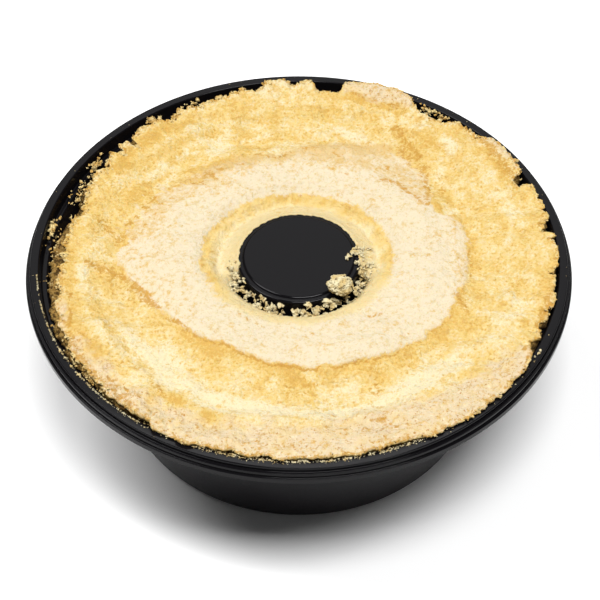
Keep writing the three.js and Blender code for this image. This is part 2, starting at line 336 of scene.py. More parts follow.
tub = {
    "height": 82.3, "wall": 1.0, "segments": 256,
    "baseRadius": 79.3, "bodyTopRadius": 107.0, "footRound": 4.0,
    "stepHeight": 76.6, "stepRadius": 108.4,
    "ledgeInner": 109.8, "ledgeOuter": 112.9, "beadHeight": 80.2, "beadRadius": 114.1,
    "lipHeight": 78.0, "lipRadius": 115.0, "lipSkirt": 2.6,
    "postHeight": 79.6, "postRadius": 25.9, "postFootRadius": 32.4, "footFillet": 2.2,
    "discRadius": 23.6, "discStep": 0.7,
}
bodyTaper = (tub["bodyTopRadius"] - tub["baseRadius"]) / (tub["stepHeight"] - tub["wall"] - tub["footRound"])
wallAcross = tub["wall"] * math.hypot(1, bodyTaper)


def innerWallRadius(height):
    return tub["baseRadius"] + bodyTaper * (height - tub["footRound"]) - wallAcross


def postWallRadius(height):
    return tub["postFootRadius"] + (tub["postRadius"] - tub["postFootRadius"]) * height / tub["postHeight"]


def makeTub():
    t = tub
    ring = t["postHeight"] - t["discStep"]
    skirt = t["lipHeight"] - t["lipSkirt"]
    wall = t["wall"]
    # radius, height, rounding of each corner, from the disc on the post over the rim and back underneath
    corners = [
        (0, t["postHeight"], 0), (t["discRadius"], t["postHeight"], 0.8), (t["discRadius"] + 0.35, ring, 0.25),
        (postWallRadius(ring), ring, 0.9), (postWallRadius(3.2), 3.2, 1.6),
        (postWallRadius(wall) + t["footFillet"], wall, 0.8),
        (innerWallRadius(t["footRound"]) - 3.0, wall, 2.4), (innerWallRadius(t["footRound"]) + 0.6, 5.2, 2.0),
        (innerWallRadius(t["stepHeight"]), t["stepHeight"], 0.5), (t["stepRadius"], t["stepHeight"], 0.45),
        (t["ledgeInner"] - 0.65, t["height"], 0.6), (t["ledgeOuter"], t["height"], 0.36),
        (t["ledgeOuter"] + 0.1, t["beadHeight"], 0.3), (t["beadRadius"], t["beadHeight"], 0.2),
        (t["beadRadius"] + 0.1, t["lipHeight"], 0.3), (t["lipRadius"], t["lipHeight"], 0.2),
        (t["lipRadius"], skirt, 0.15), (t["beadRadius"] - wall + 0.3, skirt, 0.2),
        (t["ledgeOuter"] - wall, t["height"] - wall - 0.4, 0.5),
        (t["ledgeInner"] + wall, t["height"] - wall - 0.4, 0.5),
        (t["stepRadius"] + wall, t["stepHeight"] - wall, 0.5), (t["bodyTopRadius"], t["stepHeight"] - wall, 0.4),
        (t["baseRadius"] - 1.3, 0, 4.2),
        (t["postFootRadius"], 0, 0.6), (postWallRadius(3) - wall, 3, 1.0),
        (t["postRadius"] - wall, ring - wall, 0.7), (0, ring - wall, 0),
    ]
    bm = bmesh.new()
    verts = [bm.verts.new((r * mm, 0, z * mm)) for r, z, _ in corners]
    for a, b in zip(verts, verts[1:]):
        bm.edges.new((a, b))
    for vert, (_, _, rounding) in zip(verts, corners):
        if rounding:
            bmesh.ops.bevel(bm, geom=[vert], offset=rounding * mm, offset_type="OFFSET", segments=4, profile=0.5,
                            affect="VERTICES", material=-1)
    bmesh.ops.spin(bm, geom=bm.verts[:] + bm.edges[:], axis=(0, 0, 1), angle=2 * math.pi, steps=t["segments"],
                   use_merge=True)
    bmesh.ops.remove_doubles(bm, verts=bm.verts, dist=1e-6)
    bmesh.ops.recalc_face_normals(bm, faces=bm.faces)
    for face in bm.faces:  # the outside of the body, which narrows towards the foot
        middle = face.calc_center_median() / mm
        outside = math.hypot(middle.x, middle.y) > innerWallRadius(middle.z) + wall / 2
        face.material_index = int(outside and middle.z < t["stepHeight"] - wall / 2)
    piece = finishPiece(bm, "blackTub", glossPlastic)
    piece.data.materials.append(satinPlastic)
    piece.modifiers.new("flatsStayFlat", "WEIGHTED_NORMAL").weight = 100  # beside their small roundings
    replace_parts(piece, "tub")


makeTub()
print("tub made")

cake = {
    "segments": 840, "topRows": 90, "sole": 1.6, "grooveRadius": 30.4, "postOverlap": 25.2, "climb": 8.0,
    "edgeRadius": 108.7, "edgeThickness": 1.1, "flare": 0.34,
    "skinStep": 0.7, "skinFade": 2.4, "lumps": 0.75, "crags": 0.5, "raggedness": 0.5,
}
topProfile = [
    (27, -11), (33, -7.4), (38.5, -4), (46, -1.8), (56, -1.4), (66, -2.6),
    (75, -3.9), (84, -2.4), (92, -0.5), (100, 0), (106, -0.5), (113, -1.3),
]
nearProfile = [  # where it has sunk away from the post
    (27, -13), (30.6, -9.5), (32, -5.8), (34, -3.9), (37, -2.8), (41, -2.2), (48, -1.7),
] + topProfile[4:]
shrinkage = [  # angle, spread, depth
    (175, 26, 8.2), (140, 35, 4), (215, 15, 1.5), (270, 24, -0.6), (114, 6, 1.6),
]
flaps = [(69.5, 10, 110.6), (34, 7, 110.5), (243.5, 6, 110.4), (312, 20, 110.9)]  # angle, half width, reach
notches = [  # angle, half width, depth
    (82.5, 5, 6.5), (23.4, 2.5, 5.2), (7.2, 2.6, 3), (53.6, 6.4, 4.2), (88.5, 3.2, 0.6), (101.6, 2.4, 2.4),
    (125, 4, 2), (141, 4, 2.4), (330.4, 2.2, 2.4), (336.5, 3.2, 2.2), (44.5, 6, 1.2), (60.2, 1.5, 1.6), (222, 3, 1.6),
    (351, 5, 1.2), (51, 1.1, 2), (58.3, 1.6, 3), (117, 1.6, 2), (126, 1.2, 1.6), (138, 1.4, 4), (142.6, 1.6, 2),
    (192, 2.6, 1.6), (163, 4.5, 1.8), (166, 1.5, 1.5), (91.5, 0.9, 1.8), (105.5, 0.9, 1.6), (347.5, 0.7, 1.2),
    (6.2, 1.6, 2.4), (30.4, 1.2, 1.4), (183, 1.6, 2.2), (99, 1.6, 1.4), (219.5, 1.8, 1), (337.5, 1.6, 1.8),
    (149.5, 2, 2), (155.4, 1.5, 1.2), (120.5, 1.2, 1.4), (12.5, 0.7, 1.8), (3.2, 0.6, 1.6), (16.6, 0.6, 1.4),
    (353.4, 0.7, 1.8), (342, 0.6, 1.4), (28.6, 0.6, 1.6),
]
toothDepth = [  # angle, how ragged the edge is
    (0, 0.5), (20, 0.45), (50, 0.8), (60, 0.5), (78, 0.5), (90, 0.9), (104, 1.5), (120, 1.9), (150, 2.0),
    (180, 1.4), (200, 1.0), (235, 0.5), (290, 0.5), (297, 0.6), (327, 0.8), (345, 0.55), (360, 0.5),
]
skinOuterEdge = [  # angle, radius
    (0, 71), (10, 73), (18, 70), (25, 62.5), (33, 68), (42, 75), (50, 77), (60, 76), (70, 72), (88, 64.5), (101, 58),
    (116, 61.5), (131, 64.5), (142, 69), (152, 73.5), (170, 76.5), (180, 77), (190, 71.5), (200, 66.8), (215, 62.5),
    (240, 58.5), (270, 61), (285, 62), (300, 65), (312, 66.5), (330, 68.5), (345, 70), (360, 71),
]
skinInner = {"radius": 39.8, "oval": 1.0, "shift": 0.8}
crustInner = [  # angle, radius where the browned rim crust starts; 125 is none
    (0, 125), (24, 125), (27, 107.5), (40, 108.5), (43, 125), (58, 125), (61.5, 103), (66, 101), (72, 101.5),
    (78, 105), (81, 125), (180, 125), (188, 104), (200, 103.5), (212, 101.5), (220, 98), (230, 98), (238, 99.5),
    (247, 98.5), (253, 95.5), (262, 92), (275, 91.5), (281, 89), (290, 88), (296, 91), (302, 94), (311, 96),
    (320, 98), (325.5, 100), (328.5, 104), (331, 125), (360, 125),
]
tornAmber = [  # where torn edges have browned: half width, strength, places as (angle, radius)
    (1.5, 0.8, (27.4, 62.6), (33.9, 67.8), (42.1, 75.9)), (2.2, 0.7, (42.1, 75.9), (51.1, 82.3), (60.9, 89.3)),
    (0.8, 0.95, (27.4, 62.6), (36, 61), (45, 61.2), (52, 57)), (3.2, 0.7, (50, 79), (56, 82)),
    (1.8, 0.55, (33, 76), (39, 80)),
    (1.8, 0.95, (183.5, 88.6), (185.4, 82.3), (187.5, 76.5), (190.5, 72.5), (198, 68.2), (206, 65)),
    (4.5, 0.5, (187, 81), (196, 74)), (2.6, 0.75, (167.6, 86), (169.3, 82.8), (170.6, 79)),
    (0.8, 0.8, (171, 71.1), (171.6, 70.2)), (2.6, 0.45, (148.5, 65)), (1.4, 0.85, (128.4, 62.1), (129.4, 66)),
    (0.4, 1, (107.4, 65.3), (103.8, 63.6), (102.6, 59.8)), (0.45, 1, (102.6, 60), (97.6, 60.8), (93.5, 64.5)),
    (0.4, 1, (88.8, 65.9), (84, 68.3)), (0.4, 0.9, (125, 63.5), (121.7, 60.4), (115.8, 60), (111.2, 60.4)),
    (0.35, 0.9, (77.8, 66.1), (73.9, 63), (69.5, 62.3)), (0.9, 0.8, (66.8, 52.3), (66, 52.5)),
    (1.2, 0.8, (54.2, 66), (53.2, 66.4)), (2.4, 0.45, (126, 64), (134, 68.5)), (2.2, 0.75, (341, 70.5), (337, 73.5)),
    (1.2, 0.55, (3.4, 73), (352, 72.5)), (0.4, 0.6, (230, 40.5), (241.5, 42), (249.7, 43.3), (255, 43)),
    (0.5, 0.5, (272, 45), (279, 45.5)), (0.6, 0.85, (309.6, 45.6), (315.7, 46.5)),
    (3.2, 0.45, (268, 72), (273, 70.5)), (2.2, 0.5, (297, 69), (292, 80)),
    (0.9, 0.95, (287.2, 93.2), (290, 95), (292, 100)), (0.7, 0.9, (291.5, 92.9), (290, 95)),
    (0.5, 0.9, (194, 96.8), (197, 99), (201.7, 99.4), (204.2, 102.5)),
    (0.5, 0.9, (213, 64.3), (216.7, 62.2), (225, 61.2)), (0.5, 0.85, (219, 95.8), (221, 94.2), (219.6, 91)),
    (0.6, 0.9, (221.9, 102.8), (223.8, 101.5), (223.4, 99.4)), (1.3, 0.8, (186, 100.5), (192, 101)),
    (0.8, 0.7, (266, 103.2), (272, 102.8)), (3, 0.45, (63, 106), (70, 107), (76, 107)),
    (0.4, 0.9, (207, 100), (210, 97.5), (214, 98.5)), (0.4, 0.9, (226, 99.5), (230, 101.5), (235, 100)),
    (0.8, 0.9, (222.5, 101), (225.5, 102.5)), (0.8, 0.85, (228, 103), (231.5, 102)), (2, 0.65, (232, 92), (236, 94)),
    (0.5, 0.85, (247.5, 98.7), (252, 97.7)), (1, 0.7, (62, 101.5), (69, 100.5), (77, 103)),
    (2.3, 0.8, (25.5, 103.5), (33.5, 104.6), (38.4, 107), (43, 107.5)), (1.6, 0.95, (328.5, 105.5), (331, 108)),
    (2.6, 0.3, (321, 98), (326, 102)), (1.2, 0.75, (8, 104), (12, 108.3)),
    (1.7, 0.95, (338, 105.5), (341, 106.2), (347, 106.8)), (0.9, 0.7, (357, 107.5), (1, 107)),
    (1.5, 0.8, (203, 103), (212, 104.5), (222, 104.2), (232, 106.5)),
]
bakedSpots = [  # darker and lighter patches of the crumb: half width, how much darker, places as (angle, radius)
    (9, 0.4, (270, 69)), (3.5, 0.8, (274, 68), (274, 77)), (5, 0.4, (296, 72)), (5, 0.6, (247, 92.5)),
    (3.5, 0.7, (234, 94), (242, 94)), (3, 0.35, (60, 90), (49, 81)), (4, 0.6, (37, 101), (39, 96)),
    (4, 0.35, (31, 100.5), (20, 97)), (6, 0.5, (205, 99.5), (215, 97)), (3, 0.8, (136, 74), (123, 67.5), (101, 62)),
    (5, 0.62, (120, 97), (135, 98), (154, 96)), (5, 0.5, (145, 92)), (4, 0.55, (119, 91)), (4, 0.3, (94, 98)),
    (4, 0.65, (60, 101), (72, 101), (79, 100)), (4, 0.65, (78, 90)), (4, 0.45, (337, 100)),
    (4, 0.45, (339, 86), (340, 92)), (4, 0.4, (345, 95), (344, 90), (350, 94)), (3.5, 0.4, (354.5, 82)),
    (3, 0.35, (199, 74)), (4, 0.1, (21, 94)), (2.8, -0.65, (147, 82.5), (129, 79), (112, 77), (95, 79.5)),
    (4, -0.3, (158, 92), (157, 86)), (5, -0.5, (188, 90), (195, 89)), (2.4, 0.25, (208, 89.5), (215, 88.5)),
    (4, 0.45, (189, 95), (189, 101)), (4, -0.3, (216, 78)), (4, -0.3, (240, 79)), (4, -0.25, (235, 88), (222, 84)),
    (4, -0.3, (266, 90)), (3.5, -0.4, (283, 71), (289, 72), (289, 65)), (4, -0.5, (298, 86.5), (318, 90)),
    (4, -0.3, (313, 74), (323, 77), (331, 78.5)), (5, -0.2, (5, 90)), (4, -0.3, (10, 97)),
    (3.5, -0.7, (22, 71), (29, 69.5)), (4.5, -0.5, (26, 79), (32, 80)), (4, -0.6, (43, 93), (54, 97)),
    (3.8, -0.7, (62, 78), (77, 81)),
]
brightHill = {  # the pale crest; its radius by angle
    "radius": [(196, 81), (215, 81.5), (226, 80.3), (236, 83.3), (246, 84.2), (335, 84.5)],
    "halfWidth": 4.4, "strength": 0.95,
}
tanPatches = [  # of the skin: angle, half width in full and in all, radius where it starts and is in full, strength
    (6, 14, 26, 62, 70, 0.5), (44, 12, 20, 56, 62, 0.6),
]
# stretches of the ring, as angles: where each starts, is in full, is still in full, and ends
stretches = {
    "sunk": (188, 208, 338, 358),  # the cake has sunk away from the post
    "fading": (54, 68, 122, 150),  # the skin fades into the crumb
    "flaking": (116, 130, 168, 182),  # the skin has come off in bits
    "loose": (188, 202, 236, 252),  # the rim crust stands up in plates
    "browned": (236, 250, 282, 294),  # patches of the rim crust
    "tanFar": (48, 66, 122, 150), "tanLeft": (148, 165, 205, 225), "paleInside": (208, 232, 325, 348),  # of the skin
    "darkLeft": (120, 140, 205, 225), "terrace": (84, 100, 150, 165), "crest": (196, 226, 305, 335),  # of the crumb
}


def edgeRadiusAt(angle):
    radius = np.full(np.shape(angle), cake["edgeRadius"])
    for centre, spread, depth in shrinkage:
        radius = radius - depth * np.exp(-((turn(centre, angle) / spread) ** 2))
    for centre, halfWidth, reach in flaps:
        radius = radius + (reach - radius) * ease(1, 0.6, np.abs(turn(centre, angle)) / halfWidth)
    for centre, halfWidth, depth in notches:
        radius = radius - depth * ease(1, 0.4, np.abs(turn(centre, angle)) / halfWidth)
    x, y = cake["edgeRadius"] * np.cos(np.radians(angle)), cake["edgeRadius"] * np.sin(np.radians(angle))
    torn = 0.55 * grain(x, y, 0, 3.2, 2, 3.1) + 0.75 * grain(x, y, 0, 1.5, 2, 6.6)
    return radius + cake["raggedness"] * teeth(x, y) + along(toothDepth, angle) * (torn * 1.4 - np.abs(torn) * 0.7)


def skinInnerEdge(angle):
    way = np.radians(angle)
    return skinInner["radius"] + skinInner["oval"] * np.cos(2 * way) - skinInner["shift"] * np.cos(way)


def roomRadius(height):
    room = tub["stepRadius"] if height > tub["stepHeight"] else innerWallRadius(height)
    return room - clearance


def within(name, angle):
    # 1 in full on a stretch of the ring, 0 off it
    starts, full, stillFull, ends = stretches[name]
    return ease(starts, full, angle) * ease(ends, stillFull, angle)


lumps = makeWaves(11, 9, 44)
crags = makeWaves(23, 11, 15)
teeth = makeWaves(37, 9, 13)


def makeTop(angle, edge, lift):
    # radius, height and zones of the torn top, on a grid of angles by rows
    c = cake
    hug = 1 - within("sunk", angle)
    uneven = ringGrain(angle, 28, 0, 2.4, 3, 70) * (0.5 + 1.4 * within("sunk", angle))
    start = c["grooveRadius"] + (c["postOverlap"] - c["grooveRadius"]) * hug + uneven * 1.2
    share = np.append(np.linspace(0, 1, c["topRows"] - 1), 1)
    share[-2] = 0.9965  # a narrow last row, for a crisp edge
    radius = start[:, None] + (edge - start)[:, None] * share
    turned = np.broadcast_to(angle[:, None], radius.shape)
    wayX, wayY = np.cos(np.radians(turned)), np.sin(np.radians(turned))
    x, y = radius * wayX, radius * wayY

    # edges of the zones, as distances in mm
    ragged = 1.5 * grain(x, y, 0, 8, 3, 5) + 0.7 * grain(x, y, 0, 2.5, 2, 9)
    near = np.clip(-wayY, 0, 1)
    fading, sunk, flaking = (within(name, turned) for name in ("fading", "sunk", "flaking"))
    outer = along(skinOuterEdge, turned)
    inner = skinInnerEdge(turned) + 0.2 * sunk
    bits = ringGrain(turned, 60, radius * 0.45, 2.4, 2, 90)
    torn = ragged * (1.6 - 0.7 * near + 1.2 * flaking) - flaking * (2.2 - 8.0 * bits)
    outerEdge = (outer - radius + torn) * (1 - 0.65 * fading)
    innerEdge = (radius - inner + ragged) * (1 - 0.55 * sunk)
    skinEdge = np.minimum(outerEdge, innerEdge)
    crustEdge = radius - along(crustInner, turned) + ragged * 2.4
    fade = -c["skinFade"] * 0.35
    skinCover = ease(fade, 0.3, skinEdge)
    crustCover = ease(-2.5, 2.5, crustEdge)
    cover = np.maximum(skinCover, crustCover)

    calm = ease(27, 40, radius)
    height = tub["height"] + along(topProfile, radius)
    height += sunk * (along(nearProfile, radius) - along(topProfile, radius))
    step = ease(fade, 0.3, outerEdge) * np.maximum(ease(-2.4, 1.2, innerEdge), sunk)
    height += c["skinStep"] * (0.25 + 0.75 * near) * step + 0.35 * crustCover
    height += (c["lumps"] * lumps(x, y) + c["crags"] * crags(x, y) * (1 - 0.7 * skinCover)) * calm
    height += lift[:, None] * ease(98, 108, radius) * 2.2
    height += (c["climb"] * hug)[:, None] * ease(37, 25.2, radius) ** 1.5

    # relief: torn crumb is rough and drawn out in ridges round the ring, the skin nearly flat, the rim crust plated
    coarse = grain(x, y, 0, 3.2, 3, 1.7)
    fine = grain(x, y, 0, 1.5, 2, 7.7)
    ridge = ringGrain(turned, 12, radius, 5.5, 3, 33)
    warpX, warpY = x + 1.6 * grain(x, y, 0, 4.0, 2, 20), y + 1.6 * grain(x, y, 0, 4.0, 2, 30)
    gap, level = plates(warpX, warpY, 5.0, 0.3)
    crack = ease(0.16, 0.02, gap) * ease(-0.1, 0.4, grain(x, y, 0, 6, 2, 40))
    farRough = ease(80, 98, radius) * ease(0.0, 0.8, wayY)
    crumbRelief = (0.28 + 0.50 * farRough) * coarse + 0.30 * fine + (0.16 + 0.45 * farRough) * ridge
    crumbRelief *= 0.35 + 0.65 * ease(38, 46, radius)
    skinRelief = 0.20 * coarse + 0.18 * fine
    crustRelief = 0.06 * level - 0.10 * crack + 0.30 * coarse + 0.42 * fine + 0.10 * ridge
    loose = within("loose", turned) * ease(90, 97, radius)
    crustRelief += loose * (0.34 * level - 0.5 * crack + 0.35 * coarse)
    beyond = ease(8, 0, radius - outer)
    tan = ease(48, 65, radius) * beyond * within("tanFar", turned)
    skinRelief += tan * (0.35 * coarse + 0.3 * fine)
    relief = crumbRelief * (1 - cover) + skinRelief * skinCover + crustRelief * crustCover * (1 - skinCover)
    height += relief * ease(27, 31, radius)

    # how dark each part is baked, with painted shade in the relief's hollows and painted light on its rises, from 0
    # for cream through gold to 1 and over for amber
    tone = 0.53 - 0.06 * near + 0.46 * grain(x, y, 0, 19, 2, 12) + 0.20 * grain(x, y, 0, 7, 2, 15)
    tone += 0.12 * ease(76, 84, radius) * within("darkLeft", turned)
    # painted shade and light: darker in the hollows of the relief, paler on its rises
    tone -= 0.22 * coarse + (0.14 + 0.10 * (1 - near)) * ridge
    beside = np.exp(-np.clip(radius - outer, 0, None) / 6.5) * (radius > outer - 3)
    tone += beside * (0.16 + 0.46 * near)
    terrace = within("terrace", turned) * ease(92, 84, radius)
    tone -= 0.5 * terrace * ringGrain(turned, 14, radius, 4.5, 2, 44)
    for halfWidth, darker, *places in bakedSpots:
        tone += darker * ease(halfWidth, 0, nearLine(x, y, places) + 2.5 * ragged)
    hill = brightHill
    bright = np.exp(-(((radius - along(hill["radius"], turned)) / hill["halfWidth"]) ** 2)) * within("crest", turned)
    tone -= hill["strength"] * bright * (0.9 + 0.8 * ringGrain(turned, 12, radius, 4.0, 2, 50))
    tone = np.where(radius < inner + 1.5 + 3 * sunk, -0.1 + 0.12 * fine, tone)
    innerGold = ease(inner - 11, inner + 0.5, radius + 2.0 * ragged) * ease(3, 0, radius - inner)
    innerGold *= (1 - 0.8 * within("paleInside", turned)) * (1 + 0.35 * coarse)

    # browned marks, and painted shade along the skin's outer edge; where they overlap the strongest shows
    marks = [strength * ease(halfWidth * 2.0, halfWidth * 0.2, nearLine(x, y, places) + 0.7 * ragged)
             for halfWidth, strength, *places in tornAmber]
    broken = ease(-0.5, 0.6, grain(x, y, 0, 5, 2, 60))  # the line along the skin comes and goes
    innerTear = ease(1.2, 0.1, np.abs(radius - inner + ragged + 1.0))
    marks.append(innerTear * (0.4 + 0.6 * broken) * (0.5 - 0.46 * sunk))
    # amber along the skin's outer edge: browned torn crumb, and painted shade beside the skin's raised edge, stronger
    # on the near side
    outerTearAndShade = ease(1.3, 0.1, np.abs(outer - radius + torn + 1.0))
    marks.append(outerTearAndShade * (0.3 + 0.7 * np.maximum(broken, near)) * (0.4 + 0.75 * near))
    byOuterEdge = ease(9, 2, np.abs(radius - outer + 3))
    marks.append(flaking * ease(0.05, 0.3, -bits) * byOuterEdge * 0.75)
    patchy = ease(0.1, 0.45, grain(x, y, 0, 4, 3, 25) * 1.2)
    marks.append(crustCover * within("browned", turned) * patchy * 0.5)
    rag = np.clip(0.3 + along(toothDepth, turned), 0, 1.1)
    baked = 0.7 + 0.6 * grain(x, y, 0, 7, 2, 80)
    fromEdge = edge[:, None] - radius
    marks.append(ease(3.8, 0.2, fromEdge) * rag * baked)
    marks.append((0.55 + 0.4 * loose) * crack * crustCover)  # crevices between plates of crust
    marks.append(near * ease(1.3, 0.2, fromEdge))  # amber along the edge, on the near side only
    amber = np.maximum.reduce(marks)

    for middle, full, inAll, starts, inFull, strength in tanPatches:
        patch = ease(starts, inFull, radius) * ease(inAll, full, np.abs(turn(middle, turned)))
        tan = np.maximum(tan, strength * patch * skinCover)
    tan = np.maximum(tan, 0.32 * within("tanLeft", turned) * ease(48, 62, radius) * skinCover)
    tan = np.maximum(tan, 0.65 * flaking * skinCover * ease(20, 6, outer - radius))
    nearPost = ease(38 + 6 * sunk, 28 + 8 * sunk, radius + 1.6 * coarse)
    # painted shade: amber where the mesh relief dips, on bare crumb
    hollowShade = np.clip(-crumbRelief * 1.6, 0, 1) * (1 - cover)
    fields = {  # attribute: its values, and its value below the top
        "skinEdge": (skinEdge, -9), "crustEdge": (crustEdge, -19), "tone": (tone, 0.8), "amber": (amber, 0.3),
        "tan": (tan, 0), "innerGold": (innerGold, 0), "nearPost": (nearPost, 0), "hollowShade": (hollowShade, 0),
        "bare": (np.zeros_like(radius), 1),
    }
    return radius, height, fields


def makeSide(angle, edge, rim, over):
    # rows of the section below the top: the rim's edge and underside, then the bare side down to the sole
    c = cake
    ones = np.ones(len(angle))
    underside = np.where(over, tub["height"] + clearance, rim - c["edgeThickness"])
    flare = c["flare"] + 0.6 * np.exp(-((turn(184, angle) / 20) ** 2))

    def lean(z):
        pores = 1.3 * np.abs(ringGrain(angle, 108, z, 2.4, 3, 4.4))
        return np.minimum(edge + flare * (rim - z), roomRadius(z)) - pores

    lipRadius = np.where(over, edge, np.minimum(edge, roomRadius(tub["height"])))
    rows = [(edge + 0.1, (rim + underside) / 2), (lipRadius, underside)]
    rows.append((lean(tub["height"]), np.where(over, underside, underside - 0.6)))
    rows += [(lean(z), np.minimum(z * ones, underside - 0.7)) for z in (81.2, 80.4, 79.6, 78.8, 78.0, 77.4)]
    stepInner = innerWallRadius(tub["stepHeight"]) - clearance - 0.3
    rows.append((np.minimum(lean(tub["stepHeight"]), stepInner), (tub["stepHeight"] + clearance) * ones))
    rows += [(lean(z), z * ones) for z in (75.6, 74.6, 73.6, 72.4, 71, 69, 66, 58, 38, 6)]
    rows.append(((roomRadius(6) - 4.4) * ones, c["sole"] * ones))
    rows.append(((postWallRadius(c["sole"]) + tub["footFillet"] + clearance) * ones, c["sole"] * ones))
    rows += [((postWallRadius(z) + clearance) * ones, z * ones) for z in (5, 38, 62)]
    rows.append((postWallRadius(68) + clearance + 2.2 * within("sunk", angle), 68 * ones))
    return np.stack([r for r, _ in rows], 1), np.stack([z for _, z in rows], 1)


def makeCake():
    c = cake
    angle = np.arange(c["segments"]) * 360 / c["segments"]
    edge = edgeRadiusAt(angle)
    limit = roomRadius(tub["height"])
    over = edge > limit  # where the rim lies on the ledge
    for shift in (-2, -1, 1, 2):
        over |= np.roll(edge > limit, shift)
    lift = np.maximum(ease(-1.2, 0.3, edge - limit), over)
    topRadius, topHeight, fields = makeTop(angle, edge, lift)
    rimLow = tub["height"] + clearance + c["edgeThickness"]
    topHeight[:, -2:] = np.where(over[:, None], np.maximum(topHeight[:, -2:], rimLow), topHeight[:, -2:])
    sideRadius, sideHeight = makeSide(angle, edge, topHeight[:, -1], over)
    radius = np.concatenate([topRadius, sideRadius], 1)
    height = np.concatenate([topHeight, sideHeight], 1)
    rowCount = radius.shape[1]

    # a flat grid, rolled into the ring: one way round it is the angle, the other the section
    bm = bmesh.new()
    bmesh.ops.create_grid(bm, x_segments=c["segments"], y_segments=rowCount, size=0.5)
    order = bm.verts.layers.int.new("place")
    for vert in bm.verts:
        i = round((vert.co.x + 0.5) * c["segments"]) % c["segments"]
        j = round((vert.co.y + 0.5) * rowCount) % rowCount
        vert.co = polar(angle[i], radius[i, j], height[i, j]) * mm
        vert[order] = i * rowCount + j
    bmesh.ops.remove_doubles(bm, verts=bm.verts, dist=1e-7)
    bmesh.ops.recalc_face_normals(bm, faces=bm.faces)
    places = [vert[order] for vert in bm.verts]
    bm.verts.layers.int.remove(order)
    piece = finishPiece(bm, "angelFoodCake", sponge)
    for name, (values, below) in fields.items():
        full = np.full(radius.shape, float(below))
        full[:, :values.shape[1]] = values
        if name == "bare":  # it sets in on the edge itself
            full[:, values.shape[1]] = 0.4
        attribute = piece.data.attributes.new(name, "FLOAT", "POINT")
        attribute.data.foreach_set("value", full.ravel()[places].astype(np.float32))
    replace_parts(piece, "cake")
    print("cake made:", len(piece.data.vertices), "points,", 2 * len(piece.data.polygons), "triangles")
    return edge, topRadius, topHeight


cakeEdge, topRadius, topHeight = makeCake()


def segmentAt(angle):
    return round(angle % 360 * cake["segments"] / 360) % cake["segments"]


def surfaceHeight(angle, radius):
    # height of the cake's top under a place, in mm
    i = segmentAt(angle)
    return float(np.interp(radius, topRadius[i], topHeight[i]))


def edgeAt(angle):
    return float(cakeEdge[segmentAt(angle)])


crumbRoughness = 0.6  # how far a crumb's lumps stand out, as a share of its size


def addCrumb(bm, centre, size, seed):
    made = bmesh.ops.create_icosphere(bm, subdivisions=2 if size > 1.0 else 1, radius=1.0)["verts"]
    draw = random.Random(seed)
    stretch = Vector((draw.uniform(0.6, 1.8), draw.uniform(0.5, 1.2), draw.uniform(0.4, 0.9)))
    spin = Matrix.Rotation(draw.uniform(0, 2 * math.pi), 3, "Z") @ Matrix.Rotation(draw.uniform(0, 1.4), 3, "X")
    offset = Vector((seed * 1.37, seed * 0.71, seed * 2.13))
    for vert in made:
        way = vert.co.normalized()
        bulge = 1 + crumbRoughness * noise.fractal(way * 1.3 + offset, 0.8, 2.0, 3)
        bulge += crumbRoughness * 0.6 * noise.noise(way * 3.4 + offset) + draw.uniform(-0.09, 0.09)
        vert.co = (spin @ (way * stretch * bulge * size / 2) + centre) * mm


def scatterCrumbs(name, look, findPlaces, material):
    # findPlaces gives the centre and size of each crumb, in mm
    places = findPlaces(random.Random(look["seed"]))
    whole = bmesh.new()
    batch = 40  # a small mesh at a time, because each shape added to a large one takes long
    for first in range(0, len(places), batch):
        bm = bmesh.new()
        for k, (centre, size) in enumerate(places[first:first + batch]):
            addCrumb(bm, centre, size, look["seed"] * 1000 + first + k)
        part = bpy.data.meshes.new("crumbBatch")
        bm.to_mesh(part)
        bm.free()
        whole.from_mesh(part)
        bpy.data.meshes.remove(part)
    print(name, "made:", len(places), "crumbs,", len(whole.faces), "triangles")
    piece = finishPiece(whole, name, material)
    piece.data.polygons.foreach_set("use_smooth", [False] * len(piece.data.polygons))  # broken faces, not beads


# share of its solid's box, and mm off the middle of it
looseCrumb = {"shrink": (0.9, 1, 1), "shift": (1.2, -0.9, 0)}


def makeLooseCrumb():
    low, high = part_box("loose_crumb")
    centre = (low + high) / 2 / mm + Vector(looseCrumb["shift"])
    half = [(high - low)[k] / 2 / mm * looseCrumb["shrink"][k] for k in range(3)]
    bm = bmesh.new()
    bmesh.ops.create_icosphere(bm, subdivisions=6, radius=1.0)
    for vert in bm.verts:
        way = vert.co.normalized()
        bulge = 0.96 + 0.15 * noise.fractal(way * 1.6, 0.7, 2.1, 4) - 0.11 * abs(noise.noise(way * 5.0))
        bulge += 0.05 * noise.noise(way * 11.0)
        bulge -= 0.20 * ease(0.22, 0.55, noise.noise(way * 3.2 + Vector((4, 1, 2))))
        point = Vector([way[k] * half[k] * bulge for k in range(3)])
        point.z = max(point.z, -half[2])
        vert.co = (centre + point) * mm
    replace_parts(finishPiece(bm, "looseCrumb", creamCrumb), "loose_crumb")


makeLooseCrumb()
print("loose crumb made")

# lacy chains that bridge the groove on the post's near side and cling to its wall, with black gaps between them
grooveCrumbs = {"seed": 5, "chains": 46, "from": 194, "to": 357, "radius": (26.8, 30.6), "height": (74.5, 78),
                "perChain": (4, 12), "onSlope": 90}


